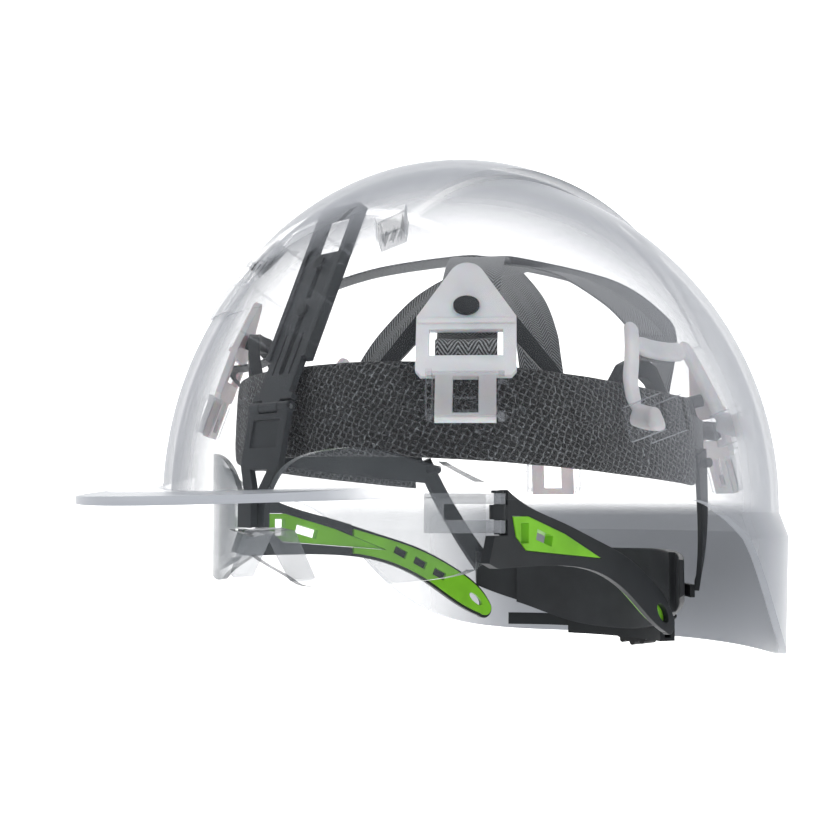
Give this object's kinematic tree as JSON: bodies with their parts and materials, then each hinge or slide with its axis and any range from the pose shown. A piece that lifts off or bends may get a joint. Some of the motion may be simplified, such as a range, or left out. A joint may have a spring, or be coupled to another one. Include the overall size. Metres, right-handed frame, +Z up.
{
  "type": "forestry safety helmet",
  "caption": "Hard hat shell with peak and neck guard, textile crown straps, knitted headband, nape ratchet, and clear spectacles on a sliding, tilting holder inside.",
  "frame": {"origin": "middle of the head seat, on the symmetry plane, level with the rim above the ears", "axes": "+X to the wearer's left, -Y to the front where the peak points, +Z up towards the crown"},
  "size_m": [0.2186, 0.2923, 0.1918],
  "materials": {
    "shell_white": "smooth glossy translucent white",
    "vent_grey": "satin",
    "hanger_frosted": "frosted, slightly see-through",
    "knit_black": "open knitted mesh",
    "webbing": "herringbone woven webbing",
    "plastic_black": "satin moulded",
    "pad_black": "soft moulded",
    "plastic_grey": "satin",
    "knob_black": "ribbed satin",
    "steel": "fine brushed",
    "lens_clear": "clear polished polycarbonate",
    "temple_black": "satin moulded",
    "temple_green": "satin soft plastic"
  },
  "bodies": {
    "helmet": {"front_hanger_left": "hanger_frosted", "front_hanger_right": "hanger_frosted", "guide_pins": "plastic_black", "guide_rail": "plastic_black", "headband_carrier": "plastic_black", "headband_cover": "knit_black", "height_studs": "plastic_black", "lug_pins": "plastic_black", "nape_arm_left": "plastic_black", "nape_arm_right": "plastic_black", "nape_pad": "pad_black", "ratchet_housing": "plastic_black", "ratchet_plate": "plastic_black", "rear_hanger_left": "hanger_frosted", "rear_hanger_right": "hanger_frosted", "shell": "shell_white", "side_fork_left": "hanger_frosted", "side_fork_right": "hanger_frosted", "strap_front_left": "webbing", "strap_front_right": "webbing", "strap_side": "webbing", "vent_grille_left": "vent_grey", "vent_grille_right": "vent_grey"},
    "strap_end_left": {"toothed_strap_left": "plastic_black"},
    "strap_end_right": {"toothed_strap_right": "plastic_black"},
    "knob": {"pinion": "plastic_grey", "adjuster_knob": "knob_black"},
    "slider": {"slider_arm": "plastic_black", "fold_pin": "steel"},
    "spectacles": {"lens_holder": "plastic_black", "lens": "lens_clear", "nose_bridge": "lens_clear", "hinge_lug_left": "lens_clear", "hinge_lug_right": "lens_clear", "hinge_pins": "plastic_black"},
    "temple_arm_left": {"temple_left": "temple_black", "temple_inlay_left": "temple_green"},
    "temple_arm_right": {"temple_right": "temple_black", "temple_inlay_right": "temple_green"}
  },
  "joints": [
    {"name": "visor_height", "type": "slide", "parent": "helmet", "child": "slider", "axis": [0, 0.3955, 0.9184], "range_m": [0, 0.005]},
    {"name": "visor_tilt", "type": "hinge", "parent": "slider", "child": "spectacles", "pos_m": [0, -0.09069, 0.03091], "axis": [1, 0, 0], "range_deg": [-10, 0]},
    {"name": "temple_left_fold", "type": "hinge", "parent": "spectacles", "child": "temple_arm_left", "pos_m": [0.067, -0.051, 0], "axis": [0, 0, 1], "range_deg": [0, 74]},
    {"name": "temple_right_fold", "type": "hinge", "parent": "spectacles", "child": "temple_arm_right", "pos_m": [-0.067, -0.051, 0], "axis": [0, 0, -1], "range_deg": [0, 63]},
    {"name": "knob_turn", "type": "hinge", "parent": "helmet", "child": "knob", "pos_m": [0, 0.105, -0.044], "axis": [0, 1, 0], "range_deg": [-40, 40]},
    {"name": "strap_left_feed", "type": "hinge", "parent": "helmet", "child": "strap_end_left", "pos_m": [0, 0.03, -0.036], "axis": [0, 0, 1], "range_deg": [-3.06, 3.06]},
    {"name": "strap_right_feed", "type": "hinge", "parent": "helmet", "child": "strap_end_right", "pos_m": [0, 0.03, -0.052], "axis": [0, 0, 1], "range_deg": [-3.06, 3.06]}
  ],
  "couplings": [
    {"joint": "strap_left_feed", "follows": "knob_turn", "ratio": -0.071429},
    {"joint": "strap_right_feed", "follows": "knob_turn", "ratio": 0.071429}
  ]
}
